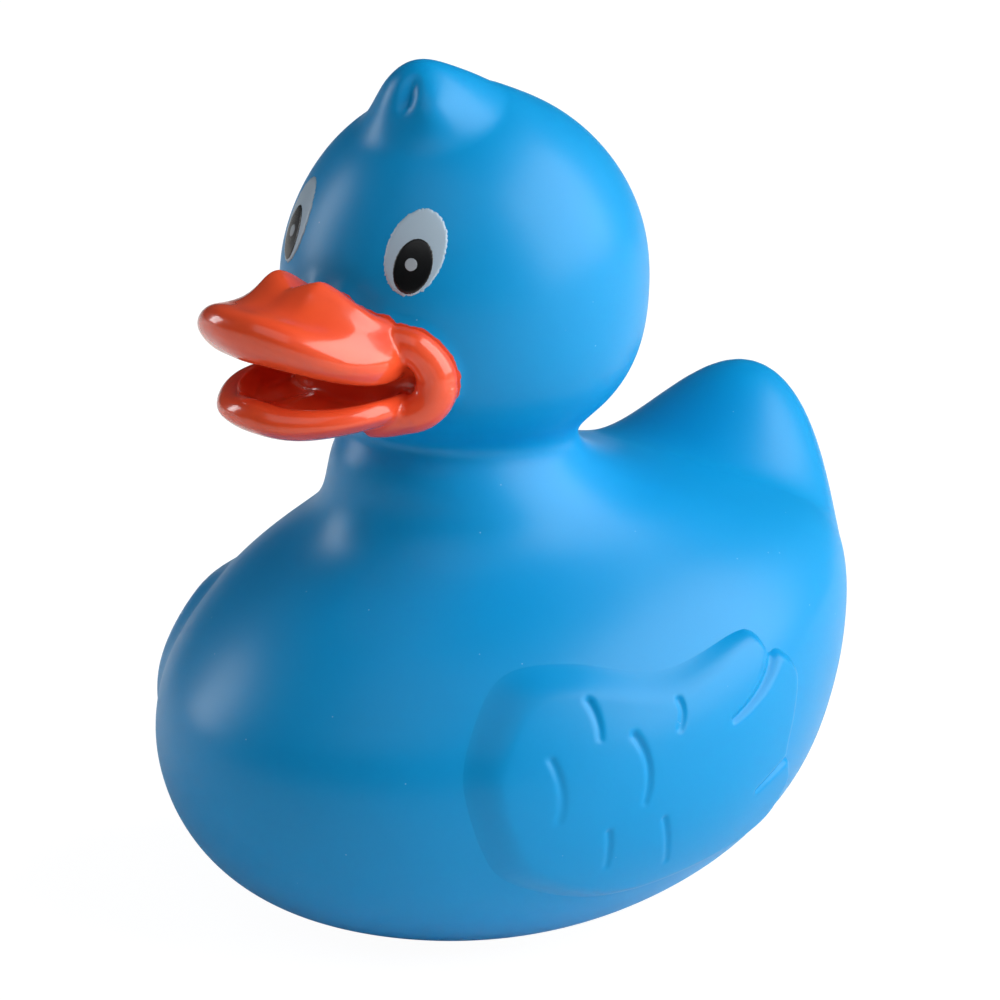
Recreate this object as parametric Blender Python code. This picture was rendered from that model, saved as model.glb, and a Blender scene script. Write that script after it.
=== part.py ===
"""Rubber duck, moulded in one piece from soft vinyl.

The duck looks towards -Y and stands on its flat base at z = 0. The body, neck and head are one loft of
oval sections. The tail and the crest are pulled out of that loft, the open bill is a profile swept round
the face, and the wings are raised pads with grooves cut into them. The shell is hollow, with a vent hole
in the base.
"""

import math

import bmesh
import bpy
from mathutils import Matrix, Vector
from mathutils.bvhtree import BVHTree

MM = 0.001

# Driving dimensions, in metres
BODY_WIDTH = 65.2 * MM
BREAST_REACH = 37.9 * MM
RUMP_REACH = 40.3 * MM
SHOULDER_HEIGHT = 45.5 * MM
NECK_RISE = 4.0 * MM
NECK_RADIUS = 12.3 * MM
NECK_FORWARD = 6.6 * MM
HEAD_RISE = 18.1 * MM
HEAD_RADIUS = 18.9 * MM
HEAD_FORWARD = 4.9 * MM
CROWN_RISE = 18.5 * MM
FOREHEAD_SLOPE = 0.035
TAIL_RISE = 9.9 * MM
TAIL_SWEEP = 1.0 * MM
TAIL_REACH = 17.5 * MM
CREST_RISE = 4.7 * MM
CREST_REACH = 9.0 * MM
CREST_FORWARD = 6.1 * MM
CREST_GROOVE_RADIUS = 0.7 * MM
WALL = 2.4 * MM
VENT_RADIUS = 1.5 * MM

# Heights that follow: the neck stands on the shoulders, the head on the neck
NECK_HEIGHT = SHOULDER_HEIGHT + NECK_RISE
HEAD_CENTRE = NECK_HEIGHT + HEAD_RISE
CROWN_HEIGHT = HEAD_CENTRE + CROWN_RISE

# The wing is a raised pad. Its outline and its grooves are shares of its length and height, from the side
WING_FRONT = -26.2 * MM
WING_FOOT = 8.7 * MM
WING_LENGTH = 39.0 * MM
WING_HEIGHT = 24.9 * MM
WING_THICKNESS = 1.0 * MM
WING_FRONT_SHARE = 0.35
WING_MIDDLE = 0.36
WING_SPAN = 0.25
GROOVE_RADIUS = 0.55 * MM
GROOVE_END = 0.45
GROOVE_STEPS = 6
GROOVE_SIDES = 6
WING_OUTLINE = (
    (0.036, 0.301, "AUTO"),
    (0.000, 0.566, "AUTO"),
    (0.054, 0.779, "AUTO"),
    (0.164, 0.956, "AUTO"),
    (0.313, 0.996, "AUTO"),
    (0.540, 0.935, "AUTO"),
    (0.795, 0.998, "AUTO"),
    (0.860, 0.984, "AUTO"),
    (0.862, 0.900, "AUTO"),
    (0.718, 0.699, "VECTOR"),
    (0.905, 0.850, "AUTO"),
    (0.955, 0.880, "AUTO"),
    (1.000, 0.800, "AUTO"),
    (0.949, 0.574, "AUTO"),
    (0.800, 0.378, "VECTOR"),
    (0.950, 0.400, "AUTO"),
    (0.990, 0.350, "AUTO"),
    (0.979, 0.265, "AUTO"),
    (0.895, 0.137, "AUTO"),
    (0.650, 0.042, "AUTO"),
    (0.395, 0.000, "AUTO"),
    (0.136, 0.124, "AUTO"),
)
WING_GROOVES = (
    ((0.313, 0.868), (0.322, 0.785), (0.313, 0.703)),
    ((0.544, 0.823), (0.552, 0.755), (0.526, 0.695)),
    ((0.400, 0.723), (0.436, 0.590), (0.418, 0.438)),
    ((0.187, 0.663), (0.210, 0.510), (0.195, 0.410)),
    ((0.326, 0.345), (0.338, 0.265), (0.341, 0.185)),
    ((0.482, 0.365), (0.508, 0.258), (0.523, 0.149)),
)

# The crest's groove: sideways places and heights over the crown, in mm
CREST_GROOVE = ((1.6, -2.0), (1.3, 0.6), (1.9, 2.3))

# The eyes are slightly raised ovals, the pupil on the white
EYE_SIDE = 8.7 * MM
EYE_RISE = 5.8 * MM
EYE_WIDTH = 6.3 * MM
EYE_TALL = 8.9 * MM
EYE_LEAN = math.radians(14)
PUPIL_WIDTH = 3.8 * MM
PUPIL_TALL = 5.6 * MM
PUPIL_DROP = 1.3 * MM
EYE_RAISE = 0.25 * MM
EYE_LOOK = (0.44, -0.82, 0.37)
EYE_SIDES = 20

# Body sections: shares of the shoulder height, breast reach, rump reach and half width
BODY_SECTIONS = (
    (-0.016, 0.330, 0.010, 0.225),
    (0.018, 0.545, 0.200, 0.440),
    (0.066, 0.720, 0.405, 0.625),
    (0.142, 0.850, 0.600, 0.785),
    (0.230, 0.932, 0.730, 0.897),
    (0.320, 0.978, 0.820, 0.963),
    (0.415, 1.000, 0.880, 0.997),
    (0.520, 0.985, 0.930, 1.000),
    (0.605, 0.930, 0.955, 0.985),
    (0.705, 0.830, 0.980, 0.935),
    (0.790, 0.710, 0.975, 0.850),
    (0.855, 0.602, 0.940, 0.745),
    (0.910, 0.545, 0.780, 0.618),
    (0.960, 0.520, 0.530, 0.515),
    (1.000, 0.505, 0.290, 0.450),
)
HEAD_RINGS = 12
CHIN_START = 0.88
CHIN_FULLNESS = 2.9
CROWN_FULLNESS = 1.88

# The bill is swept round an upright line inside the head, from one mouth corner past the front to the
# other. Its plan is a round, and at the corners it ends in a thick cheek rim that stands off the face
BILL_AHEAD = 9.1 * MM
BILL_ROUND = 10.6 * MM
BILL_ROUND_AHEAD = 12.3 * MM
BILL_END = math.radians(84)
BILL_END_TAPER = math.radians(15)
BILL_END_REACH = 8.0 * MM
BILL_END_CLOSING = 0.7
LOWER_BILL_SHORTER = 1.9 * MM
CHEEK_REACH = 15.0 * MM
CHEEK_TALL = 6.4 * MM
CHEEK_START = math.radians(50)
CHEEK_FULL = math.radians(62)
MOUTH_CORNER = math.radians(56)
MOUTH_CLOSING = math.radians(10)
MOUTH_DROP = 6.8 * MM
MOUTH_FOLD = 0.3 * MM
THROAT_FRONT = 11.4 * MM
THROAT_SIDE = 13.0 * MM
THROAT_SHARE = 0.8
NOSTRIL_RISE = 1.9 * MM
NOSTRIL_TURN = math.radians(15)
NOSTRIL_SPREAD = math.radians(9.5)
NOSTRIL_POINTS = (1, 2)
LIP_FRONT_DEEPER = 1.0 * MM
DROOP_START = math.radians(4)
DROOP_END = math.radians(46)

# How deep the lower bill is along its sweep, as shares of its section
SPOON_FRONT_DEPTH = 1.12
SPOON_SIDE_DEPTH = 0.75
SPOON_CORNER_DEPTH = 0.62

# Heights over the corners of the mouth
UPPER_LIP_FRONT = 8.3 * MM
UPPER_LIP_SIDE = 4.5 * MM
LOWER_LIP_FRONT = 0.1 * MM
LOWER_LIP_SIDE = -0.3 * MM
THROAT_TOP = 2.2 * MM
THROAT_FOOT = -0.8 * MM

# Sections of the upper and the lower bill: shares of the lip's reach, and heights over the lip in mm
UPPER_SECTION = (
    (0.36, 0.2), (0.52, 0.7), (0.67, 1.0), (0.78, -0.5), (0.88, -0.5), (0.96, 0.0),
    (1.00, -1.4), (0.975, -3.6), (0.88, -4.4), (0.70, -4.7),
)
LOWER_SECTION = (
    (0.66, -1.9), (0.82, -2.4), (0.91, -1.0), (0.96, 0.0), (1.00, -1.0),
    (0.985, -3.6), (0.87, -5.9), (0.58, -6.9), (0.25, -6.9),
)
LIP_EDGE = 6
UPPER_INNER = 7
LOWER_INNER = 3

SHARP_ANGLE = math.radians(38)
COLUMNS = 24
CAVITY_COLUMNS = 16
BILL_COLUMNS = 22


def blend(a, b, share):
    return a + (b - a) * share


def ease(value, start, end):
    """0 before start, 1 after end, and a smooth step between."""
    share = min(max((value - start) / (end - start), 0), 1)
    return share * share * (3 - 2 * share)


def body_rings():
    """(height, front, back, half width) of each section of the body."""
    for height, breast, rump, width in BODY_SECTIONS:
        yield (
            height * SHOULDER_HEIGHT,
            -breast * BREAST_REACH,
            rump * RUMP_REACH,
            width * BODY_WIDTH / 2,
        )


def head_rings():
    """The neck and the head: a ball above its centre, and fuller than a ball below it."""
    yield NECK_HEIGHT, -NECK_FORWARD - NECK_RADIUS, NECK_RADIUS - NECK_FORWARD, NECK_RADIUS
    lowest = (NECK_HEIGHT - HEAD_CENTRE) / HEAD_RADIUS * CHIN_START
    for i in range(HEAD_RINGS):
        turn = i / HEAD_RINGS
        share = math.sin(turn * math.pi / 2 + (1 - turn) * math.asin(lowest))
        power = CHIN_FULLNESS if share < 0 else CROWN_FULLNESS
        radius = HEAD_RADIUS * math.sqrt(1 - abs(share) ** power)
        slope = FOREHEAD_SLOPE * math.sin(math.pi * max(share, 0))
        height = HEAD_CENTRE + share * (HEAD_RADIUS if share < 0 else CROWN_RISE)
        yield height, -HEAD_FORWARD - radius * (1 - slope), radius - HEAD_FORWARD, radius


def loft(columns):
    """The plain form: oval rings bridged into a skin, closed by a base and a pole."""
    mesh = bmesh.new()
    rings = []
    for height, front, back, half_width in (*body_rings(), *head_rings()):
        middle, half_length = (front + back) / 2, (back - front) / 2
        rings.append([
            mesh.verts.new((
                half_width * math.sin(turn),
                middle - half_length * math.cos(turn),
                height,
            ))
            for turn in (2 * math.pi * (i + 0.5) / columns for i in range(columns))
        ])
    for low, high in zip(rings, rings[1:]):
        for i in range(columns):
            j = (i + 1) % columns
            mesh.faces.new((low[i], low[j], high[j], high[i]))
    base = mesh.verts.new((0, sum(v.co.y for v in rings[0]) / columns, rings[0][0].co.z))
    crown = mesh.verts.new((0, -HEAD_FORWARD, CROWN_HEIGHT))
    for i in range(columns):
        j = (i + 1) % columns
        mesh.faces.new((rings[0][j], rings[0][i], base))
        mesh.faces.new((rings[-1][i], rings[-1][j], crown))
    return mesh


def pull(mesh, centre, reach, shift):
    """Moves the points round a centre, most at the centre and none at the reach along each axis."""
    for vert in mesh.verts:
        offset = vert.co - Vector(centre)
        far = sum((offset[k] / reach[k]) ** 2 for k in range(3))
        if far < 1:
            vert.co += Vector(shift) * (1 - far) ** 2


def shape_tail(mesh):
    """Draws the rump up into a pointed tail."""
    centre = (0, RUMP_REACH * 0.9, SHOULDER_HEIGHT * 0.9)
    pull(mesh, centre, (TAIL_REACH, TAIL_REACH, TAIL_REACH * 1.25), (0, TAIL_SWEEP, TAIL_RISE))


def shape_crest(mesh):
    """Draws the front of the crown up and forward into a rounded tuft."""
    centre = (0, -HEAD_FORWARD - CREST_FORWARD, CROWN_HEIGHT)
    pull(mesh, centre, (CREST_REACH,) * 3, (0, -CREST_RISE / 4, CREST_RISE))


def bill_reach(turn):
    """Distance from the bill's upright line to the upper lip, whose plan is a round."""
    across = BILL_ROUND_AHEAD * math.sin(turn)
    return BILL_ROUND_AHEAD * math.cos(turn) + math.sqrt(max(BILL_ROUND**2 - across**2, 0))


def bill_profile(turn):
    """(reach, height over the mouth corners) of the bill's section at one turn, from the upper root round
    the mouth to the lower root. Past the corners the mouth is drawn shut into the cheek rim."""
    side = abs(turn)
    cheek = ease(side, CHEEK_START, CHEEK_FULL)
    lip = blend(bill_reach(min(side, CHEEK_START)), CHEEK_REACH, cheek)
    lower = lip - LOWER_BILL_SHORTER * (1 - ease(side, MOUTH_CORNER / 3, MOUTH_CORNER))
    droop = ease(side, DROOP_START, DROOP_END)
    hump = NOSTRIL_RISE * math.exp(-(((side - NOSTRIL_TURN) / NOSTRIL_SPREAD) ** 2))
    shut = ease(side, MOUTH_CORNER - MOUTH_CLOSING, MOUTH_CORNER)
    top = blend(blend(UPPER_LIP_FRONT, UPPER_LIP_SIDE, droop), CHEEK_TALL / 2, shut)
    low = blend(blend(LOWER_LIP_FRONT, LOWER_LIP_SIDE, droop), -CHEEK_TALL / 4, shut)
    depth = blend(blend(SPOON_FRONT_DEPTH, SPOON_SIDE_DEPTH, droop), SPOON_CORNER_DEPTH, shut)
    throat = blend(THROAT_FRONT, THROAT_SIDE, ease(side, MOUTH_CORNER / 5, MOUTH_CORNER))
    throat = min(throat, THROAT_SHARE * lip)
    upper, under = [], []
    for k, (share, rise) in enumerate(UPPER_SECTION):
        reach, height = share * lip, top + rise * MM
        if k in NOSTRIL_POINTS:
            height += hump
        if k >= LIP_EDGE:
            height -= LIP_FRONT_DEEPER * (1 - droop)
        if k >= UPPER_INNER:
            reach = blend(max(reach, throat + MOUTH_FOLD), lip, shut)
            height = blend(height, (len(UPPER_SECTION) + 1 - k) * MOUTH_FOLD, shut)
        upper.append((reach, height))
    for k, (share, rise) in enumerate(LOWER_SECTION):
        reach, height = share * lower, low + rise * depth * MM
        if k <= LOWER_INNER:
            reach = blend(max(reach, throat + MOUTH_FOLD), lip, shut)
            height = blend(height, -(k + 2) * MOUTH_FOLD, shut)
        under.append((reach, height))
    back = blend(throat, lip, shut)
    wall = [(back, blend(THROAT_TOP, MOUTH_FOLD, shut)), (back, blend(THROAT_FOOT, -MOUTH_FOLD, shut))]
    return upper + wall + under


def bill_cage():
    """Sections swept round the face into a closed cage, with both ends drawn in under the cheeks."""
    mesh = bmesh.new()
    corner_height = HEAD_CENTRE - MOUTH_DROP
    rows = []
    for i in range(BILL_COLUMNS + 1):
        turn = BILL_END * (2 * i / BILL_COLUMNS - 1)
        inward = ease(abs(turn), BILL_END - BILL_END_TAPER, BILL_END)
        row = []
        for reach, height in bill_profile(turn):
            reach = blend(reach, min(reach, BILL_END_REACH), inward)
            height = blend(height, 0, BILL_END_CLOSING * inward)
            ahead = -HEAD_FORWARD - BILL_AHEAD - reach * math.cos(turn)
            row.append(mesh.verts.new((reach * math.sin(turn), ahead, corner_height + height)))
        rows.append(row)
    count = len(rows[0])
    for left, right in zip(rows, rows[1:]):
        for j in range(count):
            k = (j + 1) % count
            mesh.faces.new((left[j], left[k], right[k], right[j]))
    mesh.faces.new(rows[0][::-1])
    mesh.faces.new(rows[-1])
    return mesh


def object_of(mesh, name, cutter=False):
    data = bpy.data.meshes.new(name)
    mesh.to_mesh(data)
    mesh.free()
    obj = bpy.data.objects.new(name, data)
    bpy.context.scene.collection.objects.link(obj)
    if cutter:
        obj.hide_render = True
        obj.display_type = "WIRE"
    return obj


def mesh_of(obj):
    """The object's mesh with its modifiers made real."""
    graph = bpy.context.evaluated_depsgraph_get()
    mesh = bmesh.new()
    mesh.from_mesh(obj.evaluated_get(graph).to_mesh())
    return mesh


def smoothed(cage, level):
    """The cage's subdivided mesh."""
    obj = object_of(cage, "cage")
    smooth = obj.modifiers.new("smooth", "SUBSURF")
    smooth.levels = smooth.render_levels = level
    mesh = mesh_of(obj)
    bpy.data.objects.remove(obj)
    return mesh


def form(level, columns=COLUMNS, offset=0.0, front_share=1.0):
    """The body, neck and head with the tail and the crest, grown outwards by an offset and cut flat at the
    base. At the wings' front end the offset is the share given."""
    mesh = smoothed(loft(columns), level)
    shape_tail(mesh)
    shape_crest(mesh)
    mesh.normal_update()
    for vert, normal in [(vert, vert.normal.copy()) for vert in mesh.verts]:
        share = blend(front_share, 1, ease(vert.co.y, WING_FRONT, WING_FRONT + WING_LENGTH / 2))
        vert.co += normal * offset * share
    floor = max(0.0, -offset)
    cut = bmesh.ops.bisect_plane(
        mesh,
        geom=mesh.verts[:] + mesh.edges[:] + mesh.faces[:],
        plane_co=(0, 0, floor),
        plane_no=(0, 0, -1),
        clear_outer=True,
    )
    rim = [piece for piece in cut["geom_cut"] if isinstance(piece, bmesh.types.BMEdge)]
    bmesh.ops.contextual_create(mesh, geom=rim)
    bmesh.ops.recalc_face_normals(mesh, faces=mesh.faces[:])
    return mesh


def wing_point(along, rise):
    return WING_FRONT + along * WING_LENGTH, WING_FOOT + rise * WING_HEIGHT


def wing_prism(side):
    """The wing's outline, extruded sideways from inside the body to well past its flank."""
    curve = bpy.data.curves.new("wing_outline", "CURVE")
    curve.dimensions = "2D"
    curve.fill_mode = "BOTH"
    curve.extrude = WING_SPAN * BODY_WIDTH
    curve.resolution_u = 3
    line = curve.splines.new("BEZIER")
    line.use_cyclic_u = True
    line.bezier_points.add(len(WING_OUTLINE) - 1)
    for point, (along, rise, handle) in zip(line.bezier_points, WING_OUTLINE):
        y, z = wing_point(along, rise)
        point.co = (y, z, 0)
        point.handle_left_type = point.handle_right_type = handle
    guide = bpy.data.objects.new("wing_outline", curve)
    bpy.context.scene.collection.objects.link(guide)
    mesh = mesh_of(guide)
    bpy.data.objects.remove(guide)
    bmesh.ops.remove_doubles(mesh, verts=mesh.verts, dist=1e-6)
    for vert in mesh.verts:
        y, z, x = vert.co
        vert.co = (side * (x + WING_MIDDLE * BODY_WIDTH), y, z)
    bmesh.ops.recalc_face_normals(mesh, faces=mesh.faces[:])
    return mesh


def bent(start, middle, end, share):
    """A point on the curve from start to end that leans towards the middle."""
    first = [blend(p, q, share) for p, q in zip(start, middle)]
    second = [blend(p, q, share) for p, q in zip(middle, end)]
    return [blend(p, q, share) for p, q in zip(first, second)]


def add_tube(mesh, skin, spots, radius, across, level):
    """Adds a thin tube that lies on the skin. Each spot is (start, direction) of a ray that finds the skin,
    and the tube's rings stand in the plane of the two axes given."""
    loops = []
    for i, (start, direction) in enumerate(spots):
        hit = skin.ray_cast(Vector(start), Vector(direction))[0]
        size = radius * (GROOVE_END + (1 - GROOVE_END) * math.sin(math.pi * i / (len(spots) - 1)))
        loops.append([
            mesh.verts.new(hit + (Vector(across) * math.sin(turn) + Vector(level) * math.cos(turn)) * size)
            for turn in (2 * math.pi * k / GROOVE_SIDES for k in range(GROOVE_SIDES))
        ])
    for low, high in zip(loops, loops[1:]):
        for k in range(GROOVE_SIDES):
            j = (k + 1) % GROOVE_SIDES
            mesh.faces.new((low[k], low[j], high[j], high[k]))
    mesh.faces.new(loops[0][::-1])
    mesh.faces.new(loops[-1])


def wing_grooves(skin, side):
    """A thin tube along each groove, lying on the raised wing."""
    mesh = bmesh.new()
    for start, middle, end in WING_GROOVES:
        spots = []
        for i in range(GROOVE_STEPS + 1):
            y, z = wing_point(*bent(start, middle, end, i / GROOVE_STEPS))
            spots.append(((side * BODY_WIDTH, y, z), (-side, 0, 0)))
        add_tube(mesh, skin, spots, GROOVE_RADIUS, (1, 0, 0), (0, 1, 0))
    bmesh.ops.recalc_face_normals(mesh, faces=mesh.faces[:])
    return mesh


def crest_groove(skin):
    """A tube up the front of the crest, which parts its two lobes."""
    mesh = bmesh.new()
    spots = []
    for i in range(GROOVE_STEPS + 1):
        x, rise = bent(*CREST_GROOVE, i / GROOVE_STEPS)
        spots.append(((x * MM, -2 * HEAD_RADIUS, CROWN_HEIGHT + rise * MM), (0, 1, 0)))
    add_tube(mesh, skin, spots, CREST_GROOVE_RADIUS, (1, 0, 0), (0, -0.5, 0.87))
    bmesh.ops.recalc_face_normals(mesh, faces=mesh.faces[:])
    return mesh


def eye_prism(skin, side, width, tall, drop):
    """An oval post through the brow, square to the skin at the eye."""
    out = Vector((side * EYE_LOOK[0], *EYE_LOOK[1:])).normalized()
    centre = Vector((side * EYE_SIDE, -2 * HEAD_RADIUS, HEAD_CENTRE + EYE_RISE))
    hit = skin.ray_cast(centre, Vector((0, 1, 0)))[0]
    across = out.cross(Vector((0, 0, 1))).normalized()
    upward = across.cross(out)
    lean = EYE_LEAN * side
    across, upward = (
        across * math.cos(lean) + upward * math.sin(lean),
        upward * math.cos(lean) - across * math.sin(lean),
    )
    hit = hit - upward * drop
    mesh = bmesh.new()
    loops = []
    for depth in (-2 * WALL, 2 * WALL):
        middle = hit + out * depth
        loops.append([
            mesh.verts.new(middle + (across * math.cos(turn) * width + upward * math.sin(turn) * tall) / 2)
            for turn in (2 * math.pi * k / EYE_SIDES for k in range(EYE_SIDES))
        ])
    for k in range(EYE_SIDES):
        j = (k + 1) % EYE_SIDES
        mesh.faces.new((loops[0][k], loops[0][j], loops[1][j], loops[1][k]))
    mesh.faces.new(loops[0][::-1])
    mesh.faces.new(loops[1])
    bmesh.ops.recalc_face_normals(mesh, faces=mesh.faces[:])
    return mesh


def vent_hole():
    """A round hole in the middle of the flat base, where the mould is bled and the shell breathes."""
    hole = bmesh.new()
    bmesh.ops.create_cone(
        hole, cap_ends=True, segments=16, radius1=VENT_RADIUS, radius2=VENT_RADIUS, depth=4 * WALL
    )
    vent = object_of(hole, "vent", cutter=True)
    _, breast, rump, _ = BODY_SECTIONS[1]
    vent.location = (0, (rump * RUMP_REACH - breast * BREAST_REACH) / 2, 0)
    return vent


def boolean(obj, other, operation):
    cut = obj.modifiers.new(other.name, "BOOLEAN")
    cut.operation = operation
    cut.solver = "EXACT"
    cut.object = other
    cut.material_mode = "TRANSFER"
    return obj


def raised(prism, name, thickness, front_share=1.0):
    """What stands proud of the skin inside the prism's outline: the form grown by the thickness, within
    the prism."""
    patch = object_of(prism, name, cutter=True)
    grown = object_of(form(1, offset=thickness, front_share=front_share), name + "_skin", cutter=True)
    return boolean(patch, grown, "INTERSECT")


def settle(duck):
    """Makes the joins and cuts real, removes their tools, and centres the duck over the origin."""
    graph = bpy.context.evaluated_depsgraph_get()
    mesh = bpy.data.meshes.new_from_object(duck.evaluated_get(graph))
    duck.modifiers.clear()
    duck.data = mesh
    for obj in list(bpy.data.objects):
        if obj is not duck:
            bpy.data.objects.remove(obj)
    along = [vert.co.y for vert in mesh.vertices]
    mesh.transform(Matrix.Translation((0, -(min(along) + max(along)) / 2, 0)))
    mesh.shade_smooth()
    mesh.set_sharp_from_angle(angle=SHARP_ANGLE)


def material(name, colour, roughness):
    made = bpy.data.materials.new(name)
    made.use_nodes = True
    shader = made.node_tree.nodes["Principled BSDF"]
    shader.inputs["Base Color"].default_value = (*colour, 1)
    shader.inputs["Roughness"].default_value = roughness
    return made


def main():
    for obj in list(bpy.data.objects):
        bpy.data.objects.remove(obj)
    vinyl = material("blue_vinyl", (0.0, 0.25, 0.56), 0.38)
    orange = material("orange_paint", (0.95, 0.14, 0.05), 0.2)
    white = material("white_paint", (0.55, 0.68, 0.78), 0.3)
    black = material("black_paint", (0.01, 0.012, 0.015), 0.2)

    body = form(1)
    skin = BVHTree.FromBMesh(body)
    duck = object_of(body, "duck")
    duck.data.materials.append(vinyl)

    bill = object_of(smoothed(bill_cage(), 1), "bill", cutter=True)
    bill.data.materials.append(orange)
    boolean(duck, bill, "UNION")
    for side, hand in ((1, "left"), (-1, "right")):
        wing = raised(wing_prism(side), f"{hand}_wing", WING_THICKNESS, WING_FRONT_SHARE)
        wing.data.materials.append(vinyl)
        boolean(duck, wing, "UNION")
        eye = raised(eye_prism(skin, side, EYE_WIDTH, EYE_TALL, 0), f"{hand}_eye", EYE_RAISE)
        eye.data.materials.append(white)
        boolean(duck, eye, "UNION")
        pupil_prism = eye_prism(skin, side, PUPIL_WIDTH, PUPIL_TALL, PUPIL_DROP)
        pupil = raised(pupil_prism, f"{hand}_pupil", 2 * EYE_RAISE)
        pupil.data.materials.append(black)
        boolean(duck, pupil, "UNION")
    wing_skin = BVHTree.FromBMesh(form(1, offset=WING_THICKNESS, front_share=WING_FRONT_SHARE))
    for side, hand in ((1, "left"), (-1, "right")):
        grooves = object_of(wing_grooves(wing_skin, side), f"{hand}_grooves", cutter=True)
        boolean(duck, grooves, "DIFFERENCE")
    boolean(duck, object_of(crest_groove(skin), "crest_groove", cutter=True), "DIFFERENCE")
    cavity = object_of(form(0, CAVITY_COLUMNS, -WALL), "cavity", cutter=True)
    boolean(duck, cavity, "DIFFERENCE")
    boolean(duck, vent_hole(), "DIFFERENCE")
    settle(duck)


if __name__ == "__main__":
    main()
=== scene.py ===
"""Looks of the rubber duck: the moulded vinyl shell with its wings and crest, the painted bill and eyes,
and a studio stage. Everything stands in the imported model's frame: metres, +Z up, the duck faces -Y."""

import math

import bmesh
import bpy
import numpy as np
from bpy.props import FloatProperty, FloatVectorProperty, PointerProperty
from mathutils import Matrix, Vector, noise
from mathutils.bvhtree import BVHTree


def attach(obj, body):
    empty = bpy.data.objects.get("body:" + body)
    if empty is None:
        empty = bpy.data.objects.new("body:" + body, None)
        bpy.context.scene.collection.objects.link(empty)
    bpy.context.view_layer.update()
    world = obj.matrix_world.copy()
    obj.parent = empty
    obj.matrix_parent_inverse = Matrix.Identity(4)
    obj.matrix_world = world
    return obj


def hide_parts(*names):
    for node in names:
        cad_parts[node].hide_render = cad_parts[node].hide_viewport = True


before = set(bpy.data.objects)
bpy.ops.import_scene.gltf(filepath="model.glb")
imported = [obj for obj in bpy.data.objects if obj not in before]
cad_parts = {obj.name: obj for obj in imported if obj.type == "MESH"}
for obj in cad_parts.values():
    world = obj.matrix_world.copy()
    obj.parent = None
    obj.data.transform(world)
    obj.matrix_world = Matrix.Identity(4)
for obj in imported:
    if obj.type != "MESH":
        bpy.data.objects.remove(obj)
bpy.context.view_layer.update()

bl_info = {
    "name": "Rubber duck",
    "version": (1, 0, 0),
    "blender": (4, 5, 0),
    "location": "View3D > Sidebar > Duck",
    "description": "Builds a moulded bath duck with a painted bill and eyes, and a stage to look at it",
    "category": "Add Mesh",
}

MM = 0.001

# The form's sizes in millimetres, in a frame of its own with y = 0 near the middle of the body
BODY_WIDTH = 65.2
BREAST_REACH = 37.9
RUMP_REACH = 40.3
SHOULDER_HEIGHT = 45.5
NECK_HEIGHT = 49.5
NECK_RADIUS = 12.3
NECK_FORWARD = 6.6
HEAD_RADIUS = 18.9
HEAD_CENTRE = 67.6
HEAD_FORWARD = 4.9
CROWN_RISE = 18.5
CHIN_START = 0.88
CHIN_FULLNESS = 2.9
CROWN_FULLNESS = 1.88
FOREHEAD_SLOPE = 0.035
HEAD_RINGS = 12
TAIL_CENTRE = (0, 36.27, 40.95)
TAIL_REACH = (17.5, 17.5, 21.875)
TAIL_SHIFT = (0, 1.0, 9.9)
CREST_CENTRE = (0, -11.0, 86.1)
CREST_REACH = (9.0, 9.0, 9.0)
CREST_SHIFT = (0, -1.175, 4.7)
# The crest's pull fades in over these heights, where y lies in front of these
CREST_STEP = (80.6, 84.4)
CREST_STEP_BACK = (-13, -8)
FORM_SHIFT = -1.234

# Body sections: shares of the shoulder height, breast reach, rump reach and half width
BODY_SECTIONS = (
    (-0.016, 0.330, 0.010, 0.225),
    (0.018, 0.545, 0.200, 0.440),
    (0.066, 0.720, 0.405, 0.625),
    (0.142, 0.850, 0.600, 0.785),
    (0.230, 0.932, 0.730, 0.897),
    (0.320, 0.978, 0.820, 0.963),
    (0.415, 1.000, 0.880, 0.997),
    (0.520, 0.985, 0.930, 1.000),
    (0.605, 0.930, 0.955, 0.985),
    (0.705, 0.830, 0.980, 0.935),
    (0.790, 0.710, 0.975, 0.850),
    (0.855, 0.602, 0.940, 0.745),
    (0.910, 0.545, 0.780, 0.618),
    (0.960, 0.520, 0.530, 0.515),
    (1.000, 0.505, 0.290, 0.450),
)

# The base's rows between its edge and the vent, the round at the vent's mouth, and how far the vent goes in
BASE_SHARES = (0.01, 0.04, 0.15, 0.4, 0.7, 0.93)
VENT_ROUND = 0.15
WALL = 2.4

# The oval columns of the part's smoothed cage lie this share of the way out to its sections
OVAL_SHARE = 0.9886

# The crest's two lobes as (middle, reach, rise), the swell behind them, and the valley between them
CREST_LOBES = (
    ((5.0, -14.6, 86.6), (2.3, 2.6, 2.4), 1.2),
    ((-1.2, -16.6, 87.2), (2.4, 2.4, 2.4), 0.5),
)
CREST_BACK = ((1.0, -3.6), (5.0, 3.4), 0.7)
CREST_BACK_FOOT = (80, 84)
VALLEY_X = 1.65
VALLEY_WIDTH = 0.8
VALLEY_DEPTH = 0.8
VALLEY_FRONT = (12.2, 14.5)
VALLEY_FOOT = (85.0, 86.4)

# Points of the shell's grid, and of the finer grid of each wing, which spans these turns in degrees
SHELL_ROWS = 236
SHELL_COLUMNS = 380
WING_ROWS = 190
WING_COLUMNS = 300
WING_TURNS = (34, 134)
# The crown's pole is closed from this far below it along the loft, and the head's rows lie this much closer
POLE_GAP = 0.04
HEAD_DENSITY = 1.6

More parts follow.
